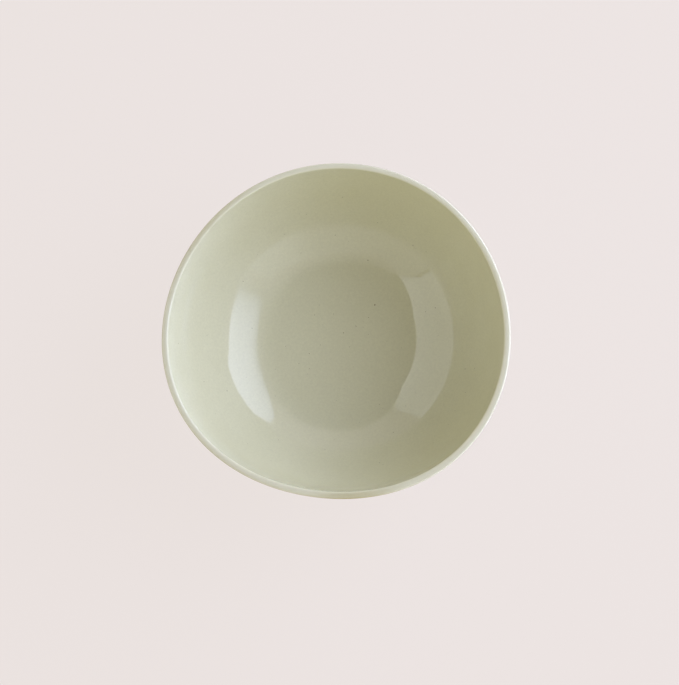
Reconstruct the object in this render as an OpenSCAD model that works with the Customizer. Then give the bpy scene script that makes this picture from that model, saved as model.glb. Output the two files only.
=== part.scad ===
// Hand-formed stoneware bowl with a glossy celadon glaze.
// A clay body stands on a luted foot ring and carries four coats of glaze.
// Millimetres, +Z up. The table is Z = 0 and the foot ring's axis is the Z axis.

/* [Bowl] */
// Mean diameter across the outside of the glazed lip
rim_d = 164; // [150:1:190]
// Mean height from the table to the crest of the lip
bowl_h = 64; // [56:1:78]
// Thickness of the glazed wall at the belly
wall_t = 4; // [3:0.1:5]
// Thickness of the glazed lip, which is fully rounded
lip_t = 3; // [2:0.1:4]
// Thickness of the floor at its centre, with its inner glaze
floor_t = 5; // [4:0.1:7]

/* [Inside] */
// Diameter of the shallow well in the middle of the floor
well_d = 62; // [50:1:68]
// How far the centre of the well lies below its edge
well_dip = 1; // [0.4:0.1:1.6]
// Diameter at the belly, where the bend of the floor passes into the wall
belly_d = 113; // [104:1:118]
// Height of the belly above the edge of the well
belly_h = 10; // [8:0.5:12.5]

/* [Foot] */
// Outer diameter of the foot ring where it joins the body
foot_d = 68; // [60:1:76]
// Width of the foot ring where it joins the body
foot_w = 5; // [4.4:0.1:8]
// Height of the foot ring
foot_h = 5; // [4:0.1:8]
// How far each flank of the foot ring draws in towards the table
foot_draw = 0.6; // [0.2:0.1:0.8]
// Rounding of the two edges that the bowl stands on
foot_round = 0.9; // [0.4:0.1:1.2]
// Width of the bare clay ledge between the foot ring and the outer glaze
heel_ledge = 1.6; // [0.8:0.1:2.5]

/* [Glaze] */
// Thickness of the glaze inside, outside and on the lip
glaze_t = 0.4; // [0.2:0.05:0.6]
// Thickness of the glaze on the underside, inside the foot ring
base_glaze_t = 0.3; // [0.15:0.05:0.6]
// Width of the wiped clay between the foot ring and the glaze on the underside
base_wipe = 1.8; // [0.8:0.1:4]

/* [Hand-formed rim] */
// How far the oval swells the radius of the rim
oval = 1; // [0:0.1:2.5]
// Direction of the oval's long axis, in degrees
oval_turn = -2; // [-90:1:90]
// How far three soft corners swell the radius of the rim
three_corners = 1.1; // [0:0.05:2]
// Direction of one of the three corners, in degrees
three_corners_turn = 82; // [0:1:119]
// How far four soft corners swell the radius of the rim
four_corners = 0.35; // [0:0.05:1]
// Direction of one of the four corners, in degrees
four_corners_turn = 38; // [0:1:89]
// How far the rim's centre stands off the axis of the foot
lean = 0.8; // [0:0.1:1.5]
// Direction in which the rim's centre stands off, in degrees
lean_turn = -75; // [-180:1:180]
// How far the lip rises above and dips below its mean height
rim_wave = 0.5; // [0:0.1:1.5]
// Direction of one of the lip's two rises, in degrees
rim_wave_turn = 25; // [-90:1:90]

/* [Fineness] */
// Steps around the bowl
around = 72; // [48:4:96]
// Steps along the arc of the well
well_steps = 2; // [1:1:4]
// Steps along the bend between the floor and the wall
bend_steps = 5; // [3:1:8]
// Steps along the wall, inside and outside
wall_steps = 7; // [4:1:10]
// Steps over the lip
lip_steps = 8; // [6:2:12]
// Steps along the outside between the wall and the foot ring
heel_steps = 4; // [2:1:6]
// Steps around each rounded edge of the foot ring
foot_round_steps = 5; // [3:1:8]

/* [Hidden] */

rim_r = rim_d / 2;
lip_r = lip_t / 2;
foot_r = foot_d / 2;
foot_bore_r = foot_r - foot_w;
floor_z = foot_h + floor_t;
// Facets around the foot ring and the disc of glaze
ring_fn = 144;
// Powers by which the sway and the wave of the rim fade out towards the foot
sway_fade = 1.3;
wave_fade = 3;
glaze_colour = "#bdbca0";
lip_colour = "#d9d9c8";
clay_colour = "#c9b48c";

// A point of the bowl's section is [radius, height, heading of the skin in degrees].
// The skin runs from the centre of the floor, up the inside, over the lip and down the
// outside, so the clay always lies on the right of the heading.

// Heading at one end of the arc between a and b, from the heading at its other end
function other_heading(a, b, heading) = 2 * atan2(b.y - a.y, b.x - a.x) - heading;

// Section points along the arc that leaves a with the given heading and ends at b
function tangent_arc(a, heading, b, steps) =
    let (
        turn = other_heading(a, b, heading) - heading,
        chord = norm([b.x - a.x, b.y - a.y])
    )
    [for (i = [0:steps])
        let (
            share = i / steps,
            reach = chord * (turn == 0 ? share : sin(turn * share / 2) / sin(turn / 2)),
            bearing = heading + turn * share / 2
        )
        [a.x + reach * cos(bearing), a.y + reach * sin(bearing), heading + turn * share]];

// A section point moved into the clay, square to the skin
function sunk(p, depth) = [p.x + depth * sin(p.z), p.y - depth * cos(p.z), p.z];
function all_sunk(points, depth) = [for (p = points) sunk(p, depth)];

// List helpers
function last(points) = points[len(points) - 1];
function tail(points) = [for (i = [1:len(points) - 1]) points[i]];
function backwards(points) = [for (i = [len(points) - 1:-1:0]) points[i]];

// The inside, from the centre of the floor to the start of the lip
floor_centre = [0, floor_z];
well_edge = [well_d / 2, floor_z + well_dip];
belly = [belly_d / 2, well_edge.y + belly_h];
well_heading = other_heading(floor_centre, well_edge, 0);
belly_heading = other_heading(well_edge, belly, well_heading);
lip_centre = [rim_r - lip_r, bowl_h - lip_r];
belly_core = sunk([belly.x, belly.y, belly_heading], lip_r);
lip_heading = other_heading(belly_core, lip_centre, belly_heading);

// The lip, a half circle from the inside to the outside
lip = [for (i = [0:lip_steps])
    sunk([lip_centre.x, lip_centre.y, lip_heading - 180 * i / lip_steps], -lip_r)];
inside_wall = tangent_arc(belly, belly_heading, lip[0], wall_steps);
inside = concat(
    tangent_arc(floor_centre, 0, well_edge, well_steps),
    tail(tangent_arc(well_edge, well_heading, belly, bend_steps)),
    tail(inside_wall)
);

// The outside, from the lip down to the base. The wall thins smoothly from belly to lip.
function wall_thickness(share) = wall_t + (lip_t - wall_t) * share * share * (3 - 2 * share);
outside_wall = [for (i = [0:wall_steps]) sunk(inside_wall[i], wall_thickness(i / wall_steps))];
heel = [foot_r + heel_ledge, foot_h];
heel_heading = other_heading(heel, outside_wall[0], belly_heading);
outside_up = concat(
    tangent_arc(heel, heel_heading, outside_wall[0], heel_steps),
    tail(outside_wall)
);
outside = [for (p = backwards(outside_up)) [p.x, p.y, p.z - 180]];

// The clay under the glaze
inside_clay = all_sunk(inside, glaze_t);
lip_clay = all_sunk(lip, glaze_t);
outside_clay = all_sunk(outside, glaze_t);
base_edge = [last(outside_clay).x, foot_h];

// How far the rim's radius swells in a direction
function swell(a) =
    oval * cos(2 * (a - oval_turn))
    + three_corners * cos(3 * (a - three_corners_turn))
    + four_corners * cos(4 * (a - four_corners_turn))
    + lean * cos(a - lean_turn);

// How high a point lies, from 0 at the base to 1 at the crest
function height_share(z) = max(0, (z - foot_h) / (bowl_h - foot_h));

// A section point brought into place in a direction, with the sway and the wave of the rim
function placed(p, a) =
    let (
        share = height_share(p.y),
        r = p.x * (1 + swell(a) / rim_r * pow(share, sway_fade)),
        lift = rim_wave * cos(2 * (a - rim_wave_turn)) * pow(share, wave_fade)
    )
    [r * cos(a), r * sin(a), p.y + lift];

// The points of the rings that a list of section points draws around the axis
function rings(section) = [for (p = section) for (i = [0:around - 1]) placed(p, i * 360 / around)];

// The triangles between two rings of points. The cut across each cell starts on the ring
// nearer the axis, so that two pieces that share a face share its triangles as well.
function band(first, second, widens) = [for (i = [0:around - 1])
    let (j = (i + 1) % around)
    each widens
        ? [[first + i, second + j, second + i], [first + i, first + j, second + j]]
        : [[first + i, first + j, second + i], [second + i, first + j, second + j]]];
function bands(section, offset, count) = [for (k = [0:count - 1])
    let (next = (k + 1) % len(section))
    each band(offset + k * around, offset + next * around, section[k].x < section[next].x)];

// A solid turned from a closed section that stays clear of the axis
module turned_loop(section) {
    polyhedron(points = rings(section), faces = bands(section, 0, len(section)));
}

// A solid turned from a section that ends on the axis at the given heights
module turned_cap(top_z, section, bottom_z) {
    first = 2;
    end = first + (len(section) - 1) * around;
    polyhedron(
        points = concat([[0, 0, top_z], [0, 0, bottom_z]], rings(section)),
        faces = concat(
            [for (i = [0:around - 1]) [0, first + (i + 1) % around, first + i]],
            bands(section, first, len(section) - 1),
            [for (i = [0:around - 1]) [1, end + i, end + (i + 1) % around]]
        )
    );
}

// The fired clay: floor, wall and lip in one piece, with a flat base for the foot ring
module clay_body() {
    section = concat(
        tail(inside_clay),
        tail(lip_clay),
        tail(outside_clay),
        [base_edge]
    );
    color(clay_colour) turned_cap(floor_z - glaze_t, section, foot_h);
}

// The ring of clay that the bowl stands on, luted to the base
module foot_ring() {
    outer_x = foot_r - foot_draw - foot_round;
    inner_x = foot_bore_r + foot_draw + foot_round;
    function quarter(x, start) = [for (i = [0:foot_round_steps])
        let (a = start - 90 * i / foot_round_steps)
        [x + foot_round * cos(a), foot_round + foot_round * sin(a)]];
    color(clay_colour) rotate_extrude($fn = ring_fn) polygon(concat(
        [[foot_bore_r, foot_h], [foot_r, foot_h]],
        quarter(outer_x, 0),
        quarter(inner_x, -90)
    ));
}

// The coat poured inside, from the floor up to the lip
module inner_glaze() {
    section = concat(tail(inside), backwards(tail(inside_clay)));
    color(glaze_colour) turned_cap(floor_z, section, floor_z - glaze_t);
}

// The coat that breaks pale over the lip
module lip_glaze() {
    color(lip_colour) turned_loop(concat(lip, backwards(lip_clay)));
}

// The coat outside, from the lip down to the ledge beside the foot ring
module outer_glaze() {
    color(glaze_colour) turned_loop(concat(outside, [base_edge], backwards(outside_clay)));
}

// The disc of glaze on the underside, inside the foot ring
module base_glaze() {
    color(glaze_colour)
        translate([0, 0, foot_h - base_glaze_t])
            cylinder(r = foot_bore_r - base_wipe, h = base_glaze_t, $fn = ring_fn);
}

clay_body();
foot_ring();
inner_glaze();
lip_glaze();
outer_glaze();
base_glaze();
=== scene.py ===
"""Hand-formed stoneware bowl in a glossy celadon glaze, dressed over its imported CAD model.

The coats of glaze, the clay and the foot ring are meshed finely from the same section as the
CAD solids, with the soft unevenness that a hand leaves, and each piece gets its own finish.
Sizes are in millimetres and angles in degrees until a mesh is made.
"""

import logging
import math
from collections.abc import Callable
from dataclasses import dataclass, field
from enum import Enum
from functools import partial

import bpy
import numpy as np
from bpy.types import Material, Node, NodeSocket, NodeTree, Object, World
from mathutils import Matrix


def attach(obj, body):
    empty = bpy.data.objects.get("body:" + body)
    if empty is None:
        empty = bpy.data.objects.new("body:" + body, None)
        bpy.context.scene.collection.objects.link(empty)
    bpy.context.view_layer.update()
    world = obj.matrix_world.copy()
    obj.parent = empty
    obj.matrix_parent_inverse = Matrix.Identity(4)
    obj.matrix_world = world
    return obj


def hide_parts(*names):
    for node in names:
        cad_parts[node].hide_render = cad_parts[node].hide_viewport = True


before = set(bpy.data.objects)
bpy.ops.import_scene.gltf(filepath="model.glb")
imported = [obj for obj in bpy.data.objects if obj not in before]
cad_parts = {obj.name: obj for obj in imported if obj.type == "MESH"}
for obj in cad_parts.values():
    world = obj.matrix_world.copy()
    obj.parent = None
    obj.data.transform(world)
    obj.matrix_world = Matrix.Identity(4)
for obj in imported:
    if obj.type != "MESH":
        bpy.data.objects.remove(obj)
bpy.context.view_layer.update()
LOG = logging.getLogger("bowl")
MM = 0.001
BODY = "root"
TURN = 360.0
# A step shorter than this has no direction
TINY = 1e-9
# Numbers of a colour mix node's sockets
MIX_A, MIX_B, MIX_RESULT = 6, 7, 2
# Length of a wave texture's waves at scale 1
WAVE = math.pi / 10
# What adds a node to the tree that it is bound to
Adder = Callable[..., Node]
Array = np.ndarray


class Slot(Enum):
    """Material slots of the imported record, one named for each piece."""

    STONEWARE = "stoneware"
    GLAZE = "celadon_glaze"
    LIP = "lip_glaze"


class SeenBy(Enum):
    """Which rays a stage piece shows itself to."""

    EVERY_RAY = "every_ray"
    LIGHT = "light"
    GLAZE = "glaze"


def linear(hex_colour: str) -> tuple[float, float, float, float]:
    """Turns an sRGB hex colour such as #c8c7b4 into linear red, green, blue and alpha."""
    shares = [int(hex_colour[i:i + 2], 16) / 255 for i in (1, 3, 5)]
    return (*[s / 12.92 if s <= 0.04045 else ((s + 0.055) / 1.055) ** 2.4 for s in shares], 1.0)


def add_node(tree: NodeTree, kind: str, inputs: dict[str | int, object] | None = None,
             **settings: object) -> Node:
    """Adds a node with its settings, its values and its links.

    Args:
        tree: Node tree to add to.
        kind: Name of the node type, after ShaderNode.
        inputs: Value, feeding node or its socket for each input, by its name or number.
        **settings: Properties of the node.

    Returns:
        The new node.
    """
    node = tree.nodes.new("ShaderNode" + kind)
    for name, value in settings.items():
        setattr(node, name, value)
    for name, value in (inputs or {}).items():
        if isinstance(value, Node):
            value = value.outputs[0]
        if isinstance(value, NodeSocket):
            tree.links.new(value, node.inputs[name])
        else:
            node.inputs[name].default_value = value
    return node


def nodes_of(owner: Material | World) -> Adder:
    """Empties a node tree.

    Args:
        owner: The material or world that has it.

    Returns:
        What adds nodes to it.
    """
    owner.use_nodes = True
    owner.node_tree.nodes.clear()
    return partial(add_node, owner.node_tree)


def in_millimetres(add: Adder) -> Node:
    """Place on the bowl in millimetres, for the patterns of a finish."""
    place = add("TexCoord").outputs["Object"]
    return add("VectorMath", {0: place, 1: (1 / MM,) * 3}, operation="MULTIPLY")


def speckle(add: Adder, place: Node, gap_mm: float, size_mm: float, rarity: float) -> Node:
    """Scatters round spots of many sizes, one to a cell.

    Args:
        add: Adds nodes to the finish.
        place: Place in millimetres.
        gap_mm: Width of a cell.
        size_mm: Radius of the largest spots.
        rarity: Share of the cells that stay empty.

    Returns:
        The node that is 1 on a spot and 0 beside it.
    """
    cell = add("TexVoronoi", {"Vector": place, "Scale": 1 / gap_mm})
    size = add("MapRange", {
        "Value": cell.outputs["Color"], "From Min": rarity, "To Max": size_mm / gap_mm})
    return add("Math", {0: cell.outputs["Distance"], 1: size}, operation="LESS_THAN")


def other_heading(a: Array, b: Array, heading: float) -> float:
    """Heading at one end of the arc between two points, from the heading at its other end."""
    return 2 * math.degrees(math.atan2(b[1] - a[1], b[0] - a[0])) - heading


def tangent_arc(a: Array, heading: float, b: Array, steps: int) -> Array:
    """Section rows along the arc that leaves a with the given heading and ends at b.

    Args:
        a: First point, as radius and height.
        heading: Heading at the first point, in degrees.
        b: Last point.
        steps: Number of steps along the arc.

    Returns:
        Rows of radius, height and heading.
    """
    turn = other_heading(a, b, heading) - heading
    share = np.arange(steps + 1) / steps
    chord = math.dist(a[:2], b[:2])
    reach = chord * np.sin(np.radians(turn * share / 2)) / math.sin(math.radians(turn / 2))
    bearing = np.radians(heading + turn * share / 2)
    return np.column_stack([
        a[0] + reach * np.cos(bearing),
        a[1] + reach * np.sin(bearing),
        heading + turn * share,
    ])


def sunk(rows: Array, depth: float | Array) -> Array:
    """Section rows moved into the clay, square to the skin.

    Args:
        rows: Rows of radius, height and heading.
        depth: How deep, as one number or one for each row.

    Returns:
        The moved rows.
    """
    heading = np.radians(rows[..., 2])
    shift = np.stack([np.sin(heading), -np.cos(heading), np.zeros_like(heading)], axis=-1)
    return rows + shift * np.asarray(depth)[..., None]


def smooth(share: Array) -> Array:
    """Eases a share from 0 to 1 without a kink at either end."""
    share = np.clip(share, 0, 1)
    return share * share * (3 - 2 * share)


def round_axis(radius: Array, angle: Array, height: Array | float) -> Array:
    """Points round the bowl's axis.

    Args:
        radius: Distances from the axis.
        angle: Directions in degrees.
        height: Heights.

    Returns:
        The points, in the shape that the three together have.
    """
    turn = np.radians(angle)
    across, along = radius * np.cos(turn), radius * np.sin(turn)
    return np.stack(np.broadcast_arrays(across, along, height), axis=-1)


@dataclass(frozen=True)
class Lobe:
    """One round of soft swells around the bowl."""

    count: int
    size: float
    turn: float

    def at(self, angle: Array) -> Array:
        """Size of the swell in each direction."""
        return self.size * np.cos(np.radians(self.count * (angle - self.turn)))


@dataclass(frozen=True)
class Ramp:
    """A soft rise from nothing to its size, from its start on."""

    start: float
    length: float
    size: float = 1.0

    def at(self, place: Array) -> Array:
        """How far it has risen at each place."""
        return self.size * smooth((place - self.start) / self.length)


@dataclass(frozen=True)
class BowlForm:
    """The bowl's section and the sway of its rim, as in the CAD model.

    The rim is a hair narrower than there, so that the finely stepped skin stays inside.
    """

    rim_d: float = 163.75
    bowl_h: float = 64.0
    wall_t: float = 4.0
    lip_t: float = 3.0
    floor_t: float = 5.0
    well_d: float = 62.0
    well_dip: float = 1.0
    belly_d: float = 113.0
    belly_h: float = 10.0
    foot_d: float = 68.0
    foot_w: float = 5.0
    foot_h: float = 5.0
    foot_draw: float = 0.6
    foot_round: float = 0.9
    heel_ledge: float = 1.6
    glaze_t: float = 0.4
    base_glaze_t: float = 0.3
    base_wipe: float = 1.8
    rim_lobes: tuple[Lobe, ...] = (
        Lobe(2, 1.0, -2), Lobe(3, 1.1, 82), Lobe(4, 0.35, 38), Lobe(1, 0.8, -75))
    wave: Lobe = Lobe(2, 0.5, 25)
    sway_fade: float = 1.3
    wave_fade: float = 3.0
    # A hand pressed the wall softly outwards on one side
    press: float = 0.25
    press_lobe: Lobe = Lobe(1, 0.25, 0)
    press_peak: float = 61.0
    press_reach: float = 19.0
    # The sponge left the lip flatter on top than at its edges, and falling to the inside
    lip_squareness: float = 3.2
    lip_crest: float = 0.9
    lip_fall: float = 0.12
    # The lip's inner edge is left thicker. The ramp is measured outwards from the rim
    lip_swell: float = 0.17
    lip_lobe: Lobe = Lobe(1, 0.24, -75)
    lip_ramp: Ramp = Ramp(-12, 9)
    # Below the lip the wall is left thicker too, so that its top leans out more
    flare: float = 0.2
    flare_lobe: Lobe = Lobe(1, 0.2, -76)
    flare_height: float = 7.0
    flare_above: float = 0.2
    flare_fade: float = 26.0
    well_steps: int = 14
    bend_steps: int = 26
    wall_steps: int = 30
    lip_steps: int = 28
    heel_steps: int = 20

    @property
    def floor_z(self) -> float:
        """Height of the floor's centre."""
        return self.foot_h + self.floor_t

    @property
    def foot_r(self) -> float:
        """Outer radius of the foot ring."""
        return self.foot_d / 2

    @property
    def bore_r(self) -> float:
        """Inner radius of the foot ring."""
        return self.foot_r - self.foot_w

    def corners(self) -> tuple[Array, Array, float, float]:
        """Points where the arcs of the inside meet.

        Returns:
            Edge of the well, belly, and the heading at each.
        """
        well = np.array([self.well_d / 2, self.floor_z + self.well_dip])
        belly = np.array([self.belly_d / 2, well[1] + self.belly_h])
        well_heading = other_heading(np.array([0.0, self.floor_z]), well, 0)
        return well, belly, well_heading, other_heading(well, belly, well_heading)

    def floor(self) -> Array:
        """Rows of the well and the bend, from the floor's centre to the belly."""
        well, belly, well_heading, _ = self.corners()
        return np.vstack([
            tangent_arc(np.array([0.0, self.floor_z]), 0, well, self.well_steps),
            tangent_arc(well, well_heading, belly, self.bend_steps)[1:],
        ])

    def lip(self) -> Array:
        """Goes over the softly flattened round of the lip, from the inside to the outside.

        Returns:
            Rows of radius, height and heading.
        """
        _, belly, _, belly_heading = self.corners()
        lip_r = self.lip_t / 2
        centre = np.array([self.rim_d / 2 - lip_r, self.bowl_h - lip_r])
        core = sunk(np.array([*belly, belly_heading]), lip_r)
        heading = other_heading(core, centre, belly_heading)
        turn = np.radians(np.linspace(0, 180, self.lip_steps + 1))
        power = 2 / self.lip_squareness
        inward = np.sign(np.cos(turn)) * np.abs(np.cos(turn)) ** power
        upward = np.sin(turn).clip(0) ** power * self.lip_crest * (1 - self.lip_fall * inward)
        h = math.radians(heading)
        points = centre + lip_r * (np.outer(inward, [-math.sin(h), math.cos(h)])
                                   + np.outer(upward, [math.cos(h), math.sin(h)]))
        return np.column_stack([points, heading - np.degrees(turn)])

    def wall(self) -> Array:
        """Rows of the inside wall, from the belly to the lip."""
        _, belly, _, belly_heading = self.corners()
        return tangent_arc(belly, belly_heading, self.lip()[0], self.wall_steps)

    def outside(self) -> Array:
        """Goes down the outside, from the lip to the base.

        Returns:
            Rows of radius, height and heading.
        """
        wall = self.wall()
        thinning = smooth(np.linspace(0, 1, len(wall)))
        outer_wall = sunk(wall, self.wall_t + (self.lip_t - self.wall_t) * thinning)
        heel = np.array([self.foot_r + self.heel_ledge, self.foot_h])
        heading = other_heading(heel, outer_wall[0], outer_wall[0][2])
        up = np.vstack([tangent_arc(heel, heading, outer_wall[0], self.heel_steps), outer_wall[1:]])
        return up[::-1] - np.array([0, 0, TURN / 2])

    def pressed(self, rows: Array, angle: Array) -> Array:
        """Rows of the inside with the wall pressed outwards, for each direction in degrees."""
        fade = 1 - smooth(np.abs(rows[..., 0] - self.press_peak) / self.press_reach)
        return sunk(rows, fade * (self.press + self.press_lobe.at(angle)))

    def swollen(self, rows: Array, angle: Array) -> Array:
        """Rows of the inside and the lip, with the wall's top left thicker inwards.

        Args:
            rows: Rows of radius, height and heading.
            angle: Directions in degrees.

        Returns:
            The swollen rows.
        """
        past_rim = rows[..., 0] - self.rim_d / 2
        below = self.lip()[0][1] - rows[..., 1]
        flare = np.sin(math.pi / 2 * np.clip(below / self.flare_height, -self.flare_above, 1))
        flare = flare * (1 - smooth((below - self.flare_height) / self.flare_fade))
        lip_share = self.lip_ramp.at(past_rim) * (self.lip_swell + self.lip_lobe.at(angle))
        wall_share = flare * (self.flare + self.flare_lobe.at(angle))
        inner = 1 - smooth((past_rim + self.lip_t) / self.lip_t)
        moved = rows.copy()
        moved[..., 0] -= inner * (lip_share + wall_share)
        return moved

    def placed(self, rows: Array, angle: Array) -> Array:
        """Section rows brought into place around the bowl, with the sway and wave of the rim.

        Args:
            rows: Rows of radius, height and heading, ring by ring.
            angle: Directions in degrees.

        Returns:
            Points in millimetres.
        """
        radius, height = rows[..., 0], rows[..., 1]
        share = np.clip((height - self.foot_h) / (self.bowl_h - self.foot_h), 0, None)
        swell = sum(lobe.at(angle) for lobe in self.rim_lobes)
        swayed = radius * (1 + swell / (self.rim_d / 2) * share ** self.sway_fade)
        return round_axis(swayed, angle, height + self.wave.at(angle) * share ** self.wave_fade)


def ring_normals(rings: Array) -> Array:
    """Directions square to a skin of rings.

    Args:
        rings: Points in millimetres, ring by ring.

    Returns:
        Unit vectors that point out of the clay.
    """
    step = np.diff(rings, axis=0)
    length = np.maximum(np.linalg.norm(step, axis=-1, keepdims=True), TINY)
    slope = step / length
    middle = (slope[:-1] * length[1:] + slope[1:] * length[:-1]) / (length[1:] + length[:-1])
    along = np.concatenate([slope[:1], middle, slope[-1:]])
    across = np.roll(rings, -1, axis=1) - np.roll(rings, 1, axis=1)
    normal = np.cross(along, across)
    length = np.linalg.norm(normal, axis=-1, keepdims=True)
    up = np.array([0.0, 0.0, 1.0])
    return np.where(length > TINY, normal / np.maximum(length, TINY), up)


def add_mesh(name: str, points: Array, faces: list, soft: bool = True,
             marks: dict[str, Array] | None = None) -> Object:
    """Puts a new mesh into the scene.

    Args:
        name: Name of the object.
        points: Points in millimetres.
        faces: Numbers of the points round each face.
        soft: Whether the faces are shaded as one smooth skin.
        marks: Numbers that the finish reads at the points, by name. Points past their end have
            the first number.

    Returns:
        The new object, in metres.
    """
    mesh = bpy.data.meshes.new(name)
    mesh.from_pydata((points * MM).tolist(), [], faces)
    mesh.polygons.foreach_set("use_smooth", [soft] * len(mesh.polygons))
    for mark, values in (marks or {}).items():
        full = np.full(len(points), values.flat[0], dtype=np.float32)
        full[:values.size] = values.ravel()
        mesh.attributes.new(mark, "FLOAT", "POINT").data.foreach_set("value", full)
    mesh.update()
    piece = bpy.data.objects.new(name, mesh)
    bpy.context.scene.collection.objects.link(piece)
    return piece


def loft(name: str, rings: Array, normals: Array | None = None,
         start: Array | None = None, end: Array | None = None, loop: bool = False,
         marks: dict[str, Array] | None = None) -> Object:
    """Builds a mesh object from rings of points.

    Args:
        name: Name of the piece.
        rings: Points in millimetres, ring by ring.
        normals: Shading direction at each point.
        start: Point on the axis that closes the first ring.
        end: Point on the axis that closes the last ring.
        loop: Whether the last ring joins the first.
        marks: Numbers that the finish reads at the points of the rings, by name.

    Returns:
        The new object, in metres.
    """
    count, around = rings.shape[:2]
    step = np.arange(around)
    following = (step + 1) % around
    faces = []
    for k in range(count if loop else count - 1):
        a, b = k * around, (k + 1) % count * around
        faces += np.column_stack([a + step, b + step, b + following, a + following]).tolist()
    points = [rings.reshape(-1, 3)]
    shading = [] if normals is None else [normals.reshape(-1, 3)]
    for tip, ring, flipped in ((start, 0, False), (end, count - 1, True)):
        if tip is None:
            continue
        place = sum(len(p) for p in points)
        pair = (following, step) if flipped else (step, following)
        faces += [(place, int(ring * around + i), int(ring * around + j)) for i, j in zip(*pair)]
        points.append(np.asarray(tip, float)[None])
        shading.append(np.array([[0.0, 0.0, -1.0 if flipped else 1.0]]))
    piece = add_mesh(name, np.vstack(points), faces, marks=marks)
    if normals is not None:
        piece.data.normals_split_custom_set_from_vertices(np.vstack(shading).tolist())
    return piece


def seat(piece: Object, slot: Slot, finish: Material, *nodes: str) -> None:
    """Dresses a piece, rides it on the bowl and lets it stand for its CAD nodes.

    Args:
        piece: The finished mesh object.
        slot: Material slot of the record. Not used.
        finish: Its material.
        *nodes: CAD nodes that it replaces.
    """
    piece.data.materials.append(finish)
    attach(piece, BODY)
    if nodes:
        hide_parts(*nodes)
    LOG.info("%s: %d faces", piece.name, len(piece.data.polygons))


@dataclass(frozen=True)
class CeladonGlaze:
    """Pale celadon, poured over buff stoneware and fired glossy.

    It is clear enough to let tiny iron spots through and hides the clay elsewhere. The eye sees
    a calm grey-green that clouds softly, deepens a little where the glaze lies thick, breaks
    paler over the lip, and goes tan where it ran thin over an edge.
    """

    name: str = "celadon_glaze_poured"
    colour: str = "#cfceb1"
    cloud: str = "#cdccae"
    deep: str = "#cac9aa"
    pale: str = "#d7d6bc"
    thin: str = "#a89a5c"
    fleck: str = "#6b6248"
    ior: float = 1.52
    roughness: float = 0.02
    roughness_spread: float = 0.02
    cloud_mm: float = 26.0
    mottle_mm: float = 1.1
    mottle_spread: float = 0.045
    fleck_gap_mm: float = 2.6
    fleck_mm: float = 0.16
    fleck_rarity: float = 0.45
    fleck_strength: float = 0.6
    ripple_mm: float = 11.0
    ripple_height_mm: float = 0.012
    orange_peel_mm: float = 1.6
    orange_peel_height_mm: float = 0.0006

    def material(self) -> Material:
        """Builds the glaze.

        Returns:
            The material.
        """
        material = bpy.data.materials.new(self.name)
        add = nodes_of(material)
        place = in_millimetres(add)
        cloud = add("TexNoise", {
            "Vector": place, "Scale": 1 / self.cloud_mm, "Detail": 3.0, "Roughness": 0.55})
        cloud = add("MapRange", {"Value": cloud, "From Min": 0.32, "From Max": 0.68})
        mottle = add("TexNoise", {"Vector": place, "Scale": 1 / self.mottle_mm, "Roughness": 0.7})
        mottle = add("MapRange", {
            "Value": mottle, "From Min": 0.25, "From Max": 0.75,
            "To Min": 1 - self.mottle_spread, "To Max": 1 + self.mottle_spread})
        fleck = speckle(add, place, self.fleck_gap_mm, self.fleck_mm, self.fleck_rarity)
        fleck = add("Math", {0: fleck, 1: self.fleck_strength}, operation="MULTIPLY")
        pool, pale, thin = (add("Attribute", attribute_name=mark).outputs["Fac"]
                            for mark in ("pool", "pale", "thin"))
        tone = linear(self.colour)
        for share, colour, blend in (
                (cloud, linear(self.cloud), "MIX"), (pool, linear(self.deep), "MIX"),
                (1.0, mottle, "MULTIPLY"), (fleck, linear(self.fleck), "MIX"),
                (pale, linear(self.pale), "MIX"), (thin, linear(self.thin), "MIX")):
            tone = add("Mix", {0: share, MIX_A: tone, MIX_B: colour},
                       data_type="RGBA", blend_type=blend).outputs[MIX_RESULT]
        gloss = add("MapRange", {"Value": cloud, "To Min": self.roughness,
                                 "To Max": self.roughness + self.roughness_spread})
        ripple = add("TexNoise", {"Vector": place, "Scale": 1 / self.ripple_mm, "Detail": 0.0})
        relief = add("Bump", {"Height": ripple, "Distance": self.ripple_height_mm * MM})
        peel = add("TexNoise", {"Vector": place, "Scale": 1 / self.orange_peel_mm, "Detail": 1.0})
        relief = add("Bump", {
            "Height": peel, "Distance": self.orange_peel_height_mm * MM, "Normal": relief})
        shader = add("BsdfPrincipled", {
            "Base Color": tone, "Roughness": gloss, "IOR": self.ior, "Normal": relief})
        add("OutputMaterial", {"Surface": shader})
        return material


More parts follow.
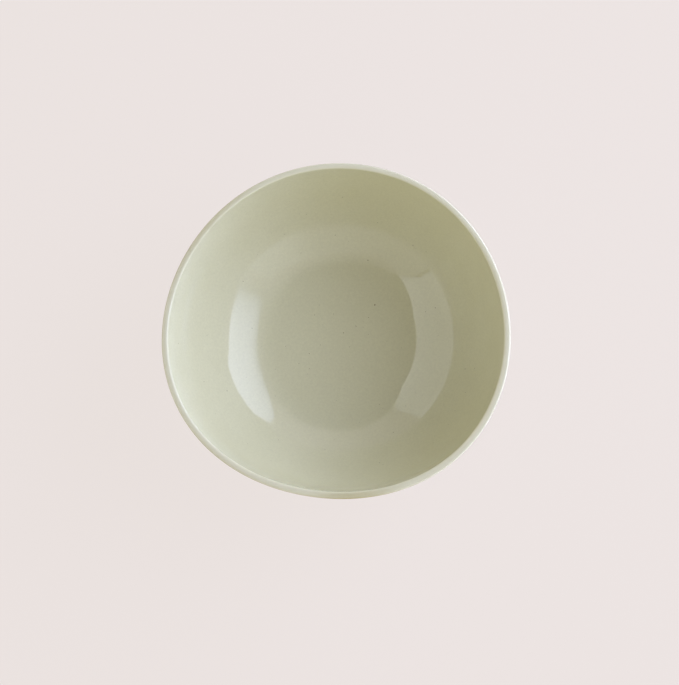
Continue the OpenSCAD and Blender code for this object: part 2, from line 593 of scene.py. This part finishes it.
@dataclass(frozen=True)
class BareStoneware:
    """Buff stoneware, trimmed on the wheel and fired bare.

    It is dry and warm, with fine grog and iron in it. The eye sees a sandy grain, the rings that
    the trimming tool left, and toasted patches.
    """

    name: str = "stoneware_trimmed"
    colour: str = "#c9b28a"
    toasted: str = "#b3935f"
    grit: str = "#7d6643"
    ior: float = 1.5
    roughness: float = 0.85
    patch_mm: float = 14.0
    grain_mm: float = 0.45
    grain_height_mm: float = 0.05
    grit_gap_mm: float = 1.5
    grit_mm: float = 0.22
    grit_rarity: float = 0.3
    ring_mm: float = 1.1
    ring_height_mm: float = 0.04

    def material(self) -> Material:
        """Builds the clay.

        Returns:
            The material.
        """
        material = bpy.data.materials.new(self.name)
        add = nodes_of(material)
        place = in_millimetres(add)
        patch = add("TexNoise", {
            "Vector": place, "Scale": 1 / self.patch_mm, "Detail": 4.0, "Roughness": 0.6})
        patch = add("MapRange", {"Value": patch, "From Min": 0.35, "From Max": 0.7})
        grit = speckle(add, place, self.grit_gap_mm, self.grit_mm, self.grit_rarity)
        tone = linear(self.colour)
        for share, colour in ((patch, self.toasted), (grit, self.grit)):
            tone = add("Mix", {0: share, MIX_A: tone, MIX_B: linear(colour)},
                       data_type="RGBA").outputs[MIX_RESULT]
        grain = add("TexNoise", {
            "Vector": place, "Scale": 1 / self.grain_mm, "Detail": 3.0, "Roughness": 0.65})
        relief = add("Bump", {"Height": grain, "Distance": self.grain_height_mm * MM})
        rings = add("TexWave", {
            "Vector": place, "Scale": WAVE / self.ring_mm, "Distortion": 1.5, "Detail Scale": 0.3},
            wave_type="RINGS", rings_direction="Z").outputs["Fac"]
        relief = add("Bump", {
            "Height": rings, "Distance": self.ring_height_mm * MM, "Normal": relief})
        shader = add("BsdfPrincipled", {
            "Base Color": tone, "Roughness": self.roughness, "IOR": self.ior, "Normal": relief})
        add("OutputMaterial", {"Surface": shader})
        return material


@dataclass(frozen=True)
class IronSpot:
    """Iron that bled from the clay up through the glaze.

    It melts into the glaze, so the eye sees a dark brown dot as glossy as what is round it.
    """

    name: str = "iron_spot_melted"
    colour: str = "#4c4330"
    paler: str = "#7a6f52"
    ior: float = 1.52
    roughness: float = 0.12
    grain_mm: float = 0.3

    def material(self) -> Material:
        """Builds the iron spot.

        Returns:
            The material.
        """
        material = bpy.data.materials.new(self.name)
        add = nodes_of(material)
        grain = add("TexNoise", {"Vector": in_millimetres(add), "Scale": 1 / self.grain_mm})
        tone = add("Mix", {0: grain, MIX_A: linear(self.colour), MIX_B: linear(self.paler)},
                   data_type="RGBA").outputs[MIX_RESULT]
        shader = add("BsdfPrincipled", {
            "Base Color": tone, "Roughness": self.roughness, "IOR": self.ior})
        add("OutputMaterial", {"Surface": shader})
        return material


@dataclass
class TurnedPiece:
    """A piece of the bowl that is meshed in rings round its axis."""

    form: BowlForm
    finish: Material
    around: int = 240

    def angles(self) -> Array:
        """Directions of a ring's points, in degrees."""
        return np.arange(self.around) * TURN / self.around

    def spread(self, rows: Array) -> Array:
        """Section rows repeated in every direction."""
        return np.broadcast_to(rows[:, None, :], (len(rows), self.around, 3))


@dataclass
class GlazeCoats(TurnedPiece):
    """The coats of glaze inside, over the lip and outside, meshed as one smooth skin."""

    # The wavy line where the outer glaze was wiped, and how finely the outside is stepped
    line_rise: float = 0.7
    line_lobes: tuple[Lobe, ...] = (Lobe(2, 0.2, 40), Lobe(5, 0.15, 10), Lobe(9, 0.08, 5))
    outer_rows: tuple[float, float, int] = (0, 0.97, 40)
    line_rows: tuple[float, float, int] = (0.975, 1, 16)
    # The bead that the glaze drew up into beside that line
    bead: float = 0.9
    bead_swell: float = 0.15
    bead_reach: float = 3.0
    # Where the glaze ran thin over the lip, as direction, reach and strength
    thin_spots: tuple[tuple[float, float, float], ...] = (
        (-84, 20, 1.0), (142, 34, 0.6), (20, 20, 0.2))
    # How it thins and pales, by the share of the way over the lip
    thin_rises: tuple[Ramp, ...] = (Ramp(0.15, 0.3, 0.35), Ramp(0.62, 0.25, 0.65))
    thin_end: Ramp = Ramp(1, 0.12)
    pale_rise: Ramp = Ramp(0.12, 0.2)
    pale_end: Ramp = Ramp(0.72, 0.25)
    pale_loss: float = 0.7
    pool_depth: float = 12.0
    pool_share: float = 0.5
    lip_start: int = field(init=False)
    lip_end: int = field(init=False)
    front: Array = field(init=False)
    normals: Array = field(init=False)
    back: Array = field(init=False)
    marks: dict[str, Array] = field(init=False)

    def __post_init__(self) -> None:
        """Lays out the rings of the whole skin."""
        form, angle = self.form, self.angles()
        inside = np.vstack([form.floor(), form.wall()[1:]])
        self.lip_start = len(inside) - 1
        self.lip_end = self.lip_start + form.lip_steps
        outside, to_edge = self.outside_rows(angle)
        rings = form.placed(np.concatenate([
            form.swollen(form.pressed(self.spread(inside), angle), angle),
            form.swollen(self.spread(form.lip()[1:]), angle),
            outside[1:],
        ]), angle)
        square = ring_normals(rings)
        coat = np.full(rings.shape[:2], form.glaze_t)
        coat[self.lip_end:] = self.coat_at(to_edge)
        self.back = rings - square * form.glaze_t
        self.front = self.back + square * coat[..., None]
        self.normals = ring_normals(self.front)
        self.marks = self.marked(angle)

    def outside_rows(self, angle: Array) -> tuple[Array, Array]:
        """Rows of the outside down to the wavy line where the glaze was wiped.

        Args:
            angle: Directions in degrees.

        Returns:
            Rows for each direction, and how far each still is from the line.
        """
        rows = self.form.outside()
        arc = np.concatenate([[0], np.cumsum(np.hypot(*np.diff(rows[:, :2], axis=0).T))])
        end = arc[-1] - self.line_rise - sum(lobe.at(angle) for lobe in self.line_lobes)
        share = np.concatenate([np.linspace(*self.outer_rows), np.linspace(*self.line_rows)])
        places = share[:, None] * end
        found = np.stack([np.interp(places, arc, rows[:, k]) for k in range(3)], axis=-1)
        return found, end - places

    def coat_at(self, to_edge: Array) -> Array:
        """Thickness of the outer coat, which ends in a rounded bead.

        Args:
            to_edge: Distance from the wiped line.

        Returns:
            The thickness in millimetres.
        """
        share = np.clip(to_edge / self.bead, 0, 1)
        swell = np.sin(math.pi * np.clip(to_edge / (self.bead_reach * self.bead), 0, 1))
        return self.form.glaze_t * np.sqrt(1 - (1 - share) ** 2) * (1 + self.bead_swell * swell)

    def marked(self, angle: Array) -> dict[str, Array]:
        """Marks where the glaze ran thin, where it broke pale and where it pooled.

        Args:
            angle: Directions in degrees.

        Returns:
            A share for each point of the skin, by the mark's name.
        """
        rows = np.arange(len(self.front))
        over = (rows - self.lip_start) / self.form.lip_steps
        thin = sum(rise.at(over) for rise in self.thin_rises) * (1 - self.thin_end.at(over))
        pale = self.pale_rise.at(over) * (1 - self.pale_end.at(over))
        spots = np.zeros_like(angle)
        for centre, reach, strength in self.thin_spots:
            away = np.abs((angle - centre + TURN / 2) % TURN - TURN / 2)
            spots = np.maximum(spots, strength * (1 - smooth(away / reach)))
        pool = 1 - smooth((self.front[..., 2] - self.form.floor_z) / self.pool_depth)
        pool[self.lip_start + 1:] = 0
        return {"thin": thin[:, None] * spots, "pool": pool * self.pool_share,
                "pale": pale[:, None] * (1 - self.pale_loss * spots)}

    def coat(self, name: str, rows: slice, slot: Slot, node: str, to_axis: bool = False) -> None:
        """Builds one coat over a stretch of the skin.

        Args:
            name: Name of the piece.
            rows: Its rings in the skin.
            slot: Material slot of the record.
            node: CAD node that it replaces.
            to_axis: Whether the coat runs on to the axis.
        """
        front, back, normals = self.front[rows], self.back[rows], self.normals[rows]
        marks = {mark: values[rows] for mark, values in self.marks.items()}
        ends_on_clay = np.allclose(front[-1], back[-1])
        under, under_normals = (part[::-1][int(ends_on_clay):] for part in (back, -normals))
        tips = {}
        if to_axis:
            tips = {"start": front[0, 0], "end": back[0, 0]}
            front, normals = front[1:], normals[1:]
            under, under_normals = under[:-1], under_normals[:-1]
            marks = {mark: values[1:] for mark, values in marks.items()}
        piece = loft(name, np.concatenate([front, under]), np.concatenate([normals, under_normals]),
                     loop=not to_axis, marks=marks, **tips)
        seat(piece, slot, self.finish, node)

    def build(self) -> None:
        """Builds the three coats."""
        lip = slice(self.lip_start, self.lip_end + 1)
        self.coat("glaze_inside", slice(0, lip.start + 1), Slot.GLAZE, "inner_glaze", to_axis=True)
        self.coat("glaze_over_lip", lip, Slot.LIP, "lip_glaze")
        self.coat("glaze_outside", slice(self.lip_end, None), Slot.GLAZE, "outer_glaze")


@dataclass
class FiredBody(TurnedPiece):
    """The fired clay under the glaze, bare on the ledge and the wiped ring beside the foot."""

    around: int = 120
    base_steps: int = 12
    base_hollow: float = 0.05

    def build(self) -> None:
        """Builds the clay body, with every second row of the inside."""
        form, angle = self.form, self.angles()
        inside = np.vstack([form.floor()[::2], form.wall()[1::2], form.lip()[:1]])
        outer = np.vstack([form.lip()[1:], form.outside()[1:]])
        inside = form.swollen(form.pressed(self.spread(inside), angle), angle)
        rings = form.placed(np.concatenate([inside, self.spread(outer)]), angle)
        clay = rings - ring_normals(rings) * form.glaze_t
        edge = np.hypot(clay[-1, :, 0], clay[-1, :, 1])
        share = np.linspace(1, 0, self.base_steps + 1)[:-1]
        base = round_axis(share[:, None] * edge, angle, form.foot_h)
        clay[-1, :, 2] = form.foot_h + self.base_hollow
        piece = loft("fired_clay", np.concatenate([clay[1:], base]), start=clay[0, 0],
                     end=np.array([0, 0, form.foot_h]))
        seat(piece, Slot.STONEWARE, self.finish, "clay_body")


@dataclass
class TrimmedFoot(TurnedPiece):
    """The foot ring, luted on and trimmed, with softened edges."""

    flank_steps: int = 8
    round_steps: int = 10
    sole_steps: int = 5
    fillet: float = 0.5
    trim_lobes: tuple[Lobe, ...] = (Lobe(2, 0.08, 15), Lobe(3, 0.06, 50), Lobe(7, 0.03, 9))

    def section(self) -> Array:
        """Closed section of the ring, from its top at the outside round to its top at the bore.

        Returns:
            Rows of radius and height.
        """
        form = self.form
        inset = form.foot_draw + form.foot_round
        quarter = np.radians(np.linspace(0, -90, self.round_steps + 1))
        curve = form.foot_round * np.column_stack([np.cos(quarter), np.sin(quarter)])
        outer = curve + [form.foot_r - inset, form.foot_round]
        inner = (curve * [-1, 1])[::-1] + [form.bore_r + inset, form.foot_round]
        share = np.linspace(0, 1, self.flank_steps + 1)[:-1, None]
        flanks = []
        for radius, low, side in ((form.foot_r, outer[0], 1), (form.bore_r, inner[-1], -1)):
            top = np.array([radius, form.foot_h])
            flank = top + (low - top) * share
            near_top = np.clip(1 - (form.foot_h - flank[:, 1]) / self.fillet, 0, 1)
            flank[:, 0] += side * self.fillet * near_top ** 2
            flanks.append(flank)
        across = np.linspace(0, 1, self.sole_steps + 1)[1:-1, None]
        sole = outer[-1] + (inner[0] - outer[-1]) * across
        return np.vstack([flanks[0], outer, sole, inner, flanks[1][::-1]])

    def build(self) -> None:
        """Builds the foot ring."""
        angle = self.angles()
        radius, height = np.hsplit(self.section(), 2)
        trim = sum(lobe.at(angle) for lobe in self.trim_lobes)
        radius = radius + trim * (1 - height / self.form.foot_h)
        piece = loft("trimmed_foot_ring", round_axis(radius, angle, height), loop=True)
        seat(piece, Slot.STONEWARE, self.finish, "foot_ring")


@dataclass
class BasePool(TurnedPiece):
    """The glaze brushed on the underside, inside the foot ring."""

    steps: int = 22
    bead: float = 1.2
    edge_lobes: tuple[Lobe, ...] = (Lobe(2, 0.25, 70), Lobe(3, 0.2, 15), Lobe(7, 0.12, 33))

    def build(self) -> None:
        """Builds the pool of glaze."""
        form, angle = self.form, self.angles()
        edge = form.bore_r - form.base_wipe + sum(lobe.at(angle) for lobe in self.edge_lobes)
        radius = np.sin(np.linspace(0, math.pi / 2, self.steps + 1))[:, None] * edge
        to_edge = np.clip((edge - radius) / self.bead, 0, 1)
        coat = form.base_glaze_t * np.sqrt(1 - (1 - to_edge) ** 2)
        rings = round_axis(radius, angle, form.foot_h - coat)
        top = round_axis(radius, angle, form.foot_h)
        piece = loft("glaze_under_base", np.concatenate([top[1:], rings[-2:0:-1]]),
                     start=top[0, 0], end=rings[0, 0])
        seat(piece, Slot.GLAZE, self.finish, "base_glaze")


@dataclass
class IronSpecks:
    """The iron spots large enough to have a body of their own, as low domes in the glaze."""

    coats: GlazeCoats
    finish: Material
    seed: int = 11
    sides: int = 9
    height: float = 0.03
    # Height and width of a dome's shoulder, as shares, and how ragged its edge is
    shoulder: tuple[float, float] = (0.6, 0.7)
    raggedness: tuple[float, float] = (0.75, 1.2)
    # Any direction that no part of the glaze faces exactly
    skew: tuple[float, float, float] = (0.3, 0.8, 0.5)
    # Spots that stand out inside the bowl, as place across, place up and radius
    noted: tuple[tuple[float, float, float], ...] = (
        (17, 21, 0.42), (1.5, 7, 0.28), (13.5, 43, 0.28), (47, 18.5, 0.28), (-48, 31, 0.28),
        (-55, -24, 0.28), (36, 48.5, 0.25), (1.5, 70, 0.25), (42.5, 45, 0.22), (-15.5, -3.5, 0.22),
        (4.5, 0, 0.2), (-10, 1, 0.2), (61.5, -13.5, 0.25), (66, -14, 0.22), (-76.5, -4.5, 0.22),
        (20, -59.5, 0.25), (-7, -52, 0.22), (26.5, -43.5, 0.22), (19.5, -29, 0.2),
        (56.5, -34.5, 0.22), (32.5, -30, 0.2), (-3.5, 16.5, 0.2), (-13, 16, 0.2),
        (61.5, -25.5, 0.2))
    loose_inside: int = 60
    loose_outside: int = 50
    loose_radius: tuple[float, float] = (0.1, 0.2)
    loose_reach: float = 76.0
    # Rings above the wiped line that are kept clear
    clear_rings: int = 20

    def inside_spot(self, x: float, y: float) -> tuple[Array, Array]:
        """Point and direction of the inner skin above a place.

        Args:
            x: Place along X, in millimetres.
            y: Place along Y.

        Returns:
            The point and the direction square to the skin.
        """
        around = self.coats.around
        ring = round(math.degrees(math.atan2(y, x)) % TURN / TURN * around) % around
        rows = slice(0, self.coats.lip_start + 1)
        points, normals = self.coats.front[rows, ring], self.coats.normals[rows, ring]
        reach = np.hypot(points[:, 0], points[:, 1])
        at = math.hypot(x, y)
        height = np.interp(at, reach, points[:, 2])
        square = np.array([np.interp(at, reach, normals[:, k]) for k in range(3)])
        return np.array([x, y, height]), square / np.linalg.norm(square)

    def spots(self) -> list[tuple[Array, Array, float]]:
        """Finds a place for every spot.

        Returns:
            Centre, direction square to the skin and radius of each.
        """
        draw = np.random.default_rng(self.seed)
        found = [(*self.inside_spot(x, y), radius) for x, y, radius in self.noted]
        for _ in range(self.loose_inside):
            reach = self.loose_reach * math.sqrt(draw.uniform())
            angle = draw.uniform(0, 2 * math.pi)
            spot = self.inside_spot(reach * math.cos(angle), reach * math.sin(angle))
            found.append((*spot, draw.uniform(*self.loose_radius)))
        last = len(self.coats.front) - self.clear_rings
        for _ in range(self.loose_outside):
            row, ring = draw.integers(self.coats.lip_end, last), draw.integers(self.coats.around)
            spot = self.coats.front[row, ring], self.coats.normals[row, ring]
            found.append((*spot, draw.uniform(*self.loose_radius)))
        return found

    def build(self) -> None:
        """Builds the specks as one piece."""
        draw = np.random.default_rng(self.seed + 1)
        rise, narrow = self.shoulder
        turn = np.arange(self.sides) * 2 * math.pi / self.sides
        points, faces = [], []
        for centre, square, radius in self.spots():
            side = np.cross(square, self.skew)
            side /= np.linalg.norm(side)
            other = np.cross(square, side)
            first = len(points)
            reach = radius * draw.uniform(*self.raggedness, self.sides)
            for level, share in ((-self.height, 1.0), (self.height * rise, narrow)):
                points += [centre + square * level
                           + share * r * (math.cos(t) * side + math.sin(t) * other)
                           for r, t in zip(reach, turn)]
            points += [centre - square * self.height, centre + square * self.height]
            bottom, top = len(points) - 2, len(points) - 1
            for i in range(self.sides):
                low, next_low = first + i, first + (i + 1) % self.sides
                high, next_high = low + self.sides, next_low + self.sides
                faces += [(low, next_low, next_high, high), (high, next_high, top),
                          (next_low, low, bottom)]
        seat(add_mesh("iron_specks", np.array(points), faces), Slot.GLAZE, self.finish)


def stand(piece: Object, finish: Material, seen: SeenBy) -> None:
    """Dresses a piece of the stage and sets which rays it shows itself to.

    Args:
        piece: The stage object.
        finish: Its material.
        seen: Which rays see it.
    """
    piece.data.materials.append(finish)
    piece.visible_camera = seen is SeenBy.EVERY_RAY
    piece.visible_diffuse = piece.visible_shadow = seen is not SeenBy.GLAZE
    piece.visible_glossy = seen is not SeenBy.LIGHT
    LOG.info("%s set up", piece.name)


@dataclass(frozen=True)
class Panel:
    """A sheet hung round the bowl, which lights it or darkens what its glaze mirrors."""

    name: str
    # Azimuth, lower and upper elevation and, where it isn't 1, share of the brightness
    stations: tuple[tuple[float, ...], ...]
    colour: str
    strength: float
    seen: SeenBy = SeenBy.GLAZE
    # Share of the brightness from the lower to the upper edge
    rise: tuple[float, ...] = (1.0, 1.0)
    reach_mm: float = 1300.0
    azimuth_step: float = 1.0
    rows: int = 24

    def build(self) -> None:
        """Builds the panel on a sphere round the bowl."""
        stations = np.array([(*station, 1.0)[:4] for station in self.stations])
        count = int(round((stations[-1, 0] - stations[0, 0]) / self.azimuth_step))
        azimuth = np.linspace(stations[0, 0], stations[-1, 0], count + 1)
        low, high, glow = (np.interp(azimuth, stations[:, 0], stations[:, k]) for k in (1, 2, 3))
        share = np.linspace(0, 1, self.rows + 1)
        elevation = np.radians(low + (high - low) * share[:, None])
        points = self.reach_mm * round_axis(np.cos(elevation), azimuth, np.sin(elevation))
        wide = len(azimuth)
        faces = [(k * wide + i, k * wide + i + 1, (k + 1) * wide + i + 1, (k + 1) * wide + i)
                 for k in range(self.rows) for i in range(wide - 1)]
        rise = np.interp(share, np.linspace(0, 1, len(self.rise)), self.rise)
        sheet = add_mesh(self.name, points.reshape(-1, 3), faces, soft=False,
                         marks={"glow": rise[:, None] * glow})
        stand(sheet, self.material(), self.seen)

    def material(self) -> Material:
        """Builds the panel's light, or black felt where its strength is zero.

        Returns:
            The material.
        """
        material = bpy.data.materials.new(self.name)
        add = nodes_of(material)
        if self.seen is SeenBy.GLAZE:
            material.cycles.emission_sampling = "NONE"
        if self.strength:
            glow = add("Attribute", attribute_name="glow").outputs["Fac"]
            power = add("Math", {0: glow, 1: self.strength}, operation="MULTIPLY")
            shader = add("Emission", {"Color": linear(self.colour), "Strength": power})
        else:
            shader = add("BsdfDiffuse", {"Color": linear(self.colour)})
        add("OutputMaterial", {"Surface": shader})
        return material


@dataclass
class Studio:
    """Plain pale floor and soft light, as the glaze mirrors them."""

    backdrop: str = "#ece4e1"
    floor_mm: float = 6000.0
    floor_sides: int = 96
    paper_share: float = 0.92
    diffuse_world: float = 0.72
    panels: tuple[Panel, ...] = (
        Panel("softbox_right", (
            (-24, 20, 50, 0.05), (-20, 21.5, 55, 0.4), (-17, 22, 57.5, 0.6), (-10, 23, 60, 0.8),
            (2, 24.5, 62.5), (13, 24.5, 62.5), (20, 20, 61, 1.05), (32, 13, 60.5, 1.05),
            (40, 12, 59), (47, 17, 55.5, 0.95), (52, 23, 50, 0.9), (56, 25, 43, 0.85),
            (58, 26.5, 38, 0.8)), "#dbe5ff", 4.8, rise=(1.0, 1.0, 1.0, 1.0, 0.9, 0.4)),
        Panel("ledge_right", (
            (-18, 57.5, 66), (-10, 60, 66.5), (8, 62, 67.5), (24, 60.5, 64), (36, 59.5, 62),
            (48, 54, 59.5), (54, 48, 55)), "#fdfdfc", 0.42, reach_mm=1250.0),
        Panel("ledge_front", (
            (-134, 56, 62), (-118, 57.5, 64), (-105, 59, 66.5), (-92, 61.5, 69), (-66, 62.5, 70),
            (-52, 63.5, 71), (-39, 63.5, 71), (-27, 60.5, 70), (-20, 58, 70)),
            "#fdfdfc", 0.52, reach_mm=1250.0),
        Panel("softbox_right_light", (
            (-23, 20, 47, 0.15), (-10, 22, 54, 0.65), (2, 23, 57), (20, 19, 61.5, 1.05),
            (44, 10, 55, 0.95), (58, 10, 46, 0.4)),
            "#d9e0ff", 7.0, SeenBy.LIGHT, rise=(1.0, 1.0, 1.0, 0.65, 0.5, 0.35)),
        Panel("strip_right_light", (
            (-55, 1, 15, 0.5), (-30, 1, 15, 0.7), (-5, 1, 12), (5, 1, 12, 0.75), (60, 1, 9, 0.75)),
            "#c6cfff", 9.4, SeenBy.LIGHT),
        Panel("strip_right", ((-50, 1, 10, 0.6), (0, 1, 12), (60, 1, 9)), "#fdfdfc", 0.5),
        Panel("reflector_left", (
            (124.5, 48, 55), (128, 40, 61), (130, 30, 65), (131.5, 20, 68), (132.5, 3, 70),
            (146, 3, 70), (180, 3, 69), (196, 3, 64), (204, 3, 61), (210, 3, 59),
            (211, 36, 58.5), (212, 45, 58), (214, 50.5, 57), (218, 55, 56)),
            "#f5faff", 2.2, rise=(0.75, 0.75, 0.8, 0.9, 1.0)),
        Panel("reflector_left_light", ((124.5, 3, 60), (180, 3, 66), (212, 3, 56)),
              "#fff9f0", 1.36, SeenBy.LIGHT, rise=(1.0, 1.0, 0.4, 0.4, 0.4)),
        Panel("reflector_front", (
            (-148, 3, 40), (-145, 3, 49), (-141, 3, 52.5), (-130, 3, 51.5), (-117, 3, 51.5),
            (-105, 3, 54.5), (-98, 15, 55), (-88, 23.5, 56), (-80, 25, 57), (-73, 25, 56.5),
            (-68, 15, 56, 1.1), (-54, 3, 53.5, 1.2), (-42, 3, 50.5, 1.2), (-35, 3, 50.5, 1.2)),
            "#fdfffb", 1.14, rise=(0.95, 0.95, 1.0, 1.05)),
        Panel("gap_between_reflectors", ((210, 18, 40), (212, 18, 42)), "#fdfdfc", 0.3,
              reach_mm=1280.0),
        Panel("reflector_front_light", ((-146, 3, 30), (-101, 3, 51), (-36, 3, 44)),
              "#fff8e3", 0.95, SeenBy.LIGHT),
        Panel("wall_behind_light", ((59, 3, 45), (92, 3, 45), (94, 3, 45, 0), (123, 3, 45, 0)),
              "#ffea90", 0.76, SeenBy.LIGHT, reach_mm=1500.0),
        Panel("ceiling_light", ((-180, 67, 90), (180, 67, 90)), "#ffe7d0", 0.17, SeenBy.LIGHT,
              reach_mm=1500.0),
        Panel("flag_overhead", tuple((azimuth, low, 90) for azimuth, low in (
            (-180, 65.5), (-170, 62), (-156, 59), (-143, 56), (-132, 60.5), (-119, 62.5),
            (-107, 65), (-93, 67), (-80, 68), (-65, 68.5), (-47, 69.5), (-23, 68.5), (-10, 68.5),
            (4, 69.5), (15, 69), (24, 66.5), (33, 64.5), (43, 63.5), (50, 61), (56, 57), (63, 53),
            (71, 50), (78, 49.5), (92, 47.5), (107, 48.5), (114, 51), (122, 53), (128, 59.5),
            (132, 65.5), (148, 66), (167, 65.5), (180, 65.5))), "#1c1c1c", 0.0, reach_mm=1200.0),
    )

    def floor_material(self) -> Material:
        """Pale matt paper. Part of what is seen of it is plain, and the rest takes the shadow.

        Returns:
            The material.
        """
        material = bpy.data.materials.new("floor_paper")
        add = nodes_of(material)
        paper = add("BsdfDiffuse", {"Color": linear(self.backdrop)})
        plain = add("Emission", {"Color": linear(self.backdrop)})
        share = add("Math", {0: self.seen(add), 1: self.paper_share}, operation="MULTIPLY")
        shader = add("MixShader", {0: share, 1: paper, 2: plain})
        add("OutputMaterial", {"Surface": shader})
        return material

    def seen(self, add: Adder) -> Node:
        """Tells camera, glossy and transmission rays from the others.

        Args:
            add: Adds nodes to the material or the world.

        Returns:
            The node that is 1 for rays that show the background and 0 for rays that only light.
        """
        path = add("LightPath").outputs
        shown = path["Is Camera Ray"]
        for ray in ("Is Glossy Ray", "Is Transmission Ray"):
            shown = add("Math", {0: shown, 1: path[ray]}, operation="MAXIMUM")
        return shown

    def build_world(self) -> None:
        """Surrounds the stage with the backdrop's colour, dimmer where it only lights."""
        world = bpy.data.worlds.new("studio")
        bpy.context.scene.world = world
        add = nodes_of(world)
        strength = add("MapRange", {"Value": self.seen(add), "To Min": self.diffuse_world})
        shader = add("Background", {"Color": linear(self.backdrop), "Strength": strength})
        add("OutputWorld", {"Surface": shader})

    def build(self) -> None:
        """Builds the floor, the world and the panels."""
        corner = np.arange(self.floor_sides)
        edge = round_axis(self.floor_mm / 2, corner * TURN / self.floor_sides, 0.0)
        floor = add_mesh("floor", edge, [corner.tolist()], soft=False)
        stand(floor, self.floor_material(), SeenBy.EVERY_RAY)
        self.build_world()
        for panel in self.panels:
            panel.build()


@dataclass(frozen=True)
class TopCamera:
    """The camera, nearly straight above the bowl."""

    tilt: float = 9.36
    azimuth: float = 13.73
    distance: float = 1100.0
    aim: tuple[float, float, float] = (0.24, -1.01, 30.0)
    lens: float = 119.49
    sensor: float = 36.0
    nearest: float = 10.0

    def build(self) -> None:
        """Places the camera, with +X kept level in its picture."""
        tilt = math.radians(self.tilt)
        back = round_axis(math.sin(tilt), self.azimuth - 90, math.cos(tilt))
        right = np.array([1.0, 0.0, 0.0])
        right -= back * right.dot(back)
        right /= np.linalg.norm(right)
        matrix = np.eye(4)
        matrix[:3, :3] = np.column_stack([right, np.cross(back, right), back])
        matrix[:3, 3] = (np.array(self.aim) + back * self.distance) * MM
        data = bpy.data.cameras.new("top_camera")
        data.sensor_fit = "HORIZONTAL"
        data.sensor_width = self.sensor
        data.lens = self.lens
        data.clip_start = self.nearest * MM
        camera = bpy.data.objects.new("top_camera", data)
        bpy.context.scene.collection.objects.link(camera)
        camera.matrix_world = Matrix(matrix.tolist())
        bpy.context.scene.camera = camera


def main() -> None:
    """Builds and dresses the bowl, its stage and its camera."""
    bpy.context.scene.view_settings.view_transform = "Standard"
    form = BowlForm()
    glaze = CeladonGlaze().material()
    clay = BareStoneware().material()
    coats = GlazeCoats(form, glaze)
    coats.build()
    FiredBody(form, clay).build()
    TrimmedFoot(form, clay).build()
    BasePool(form, glaze).build()
    IronSpecks(coats, IronSpot().material()).build()
    Studio().build()
    TopCamera().build()


if __name__ == "__main__":
    logging.basicConfig(level=logging.INFO, format="%(name)s: %(message)s")
    main()
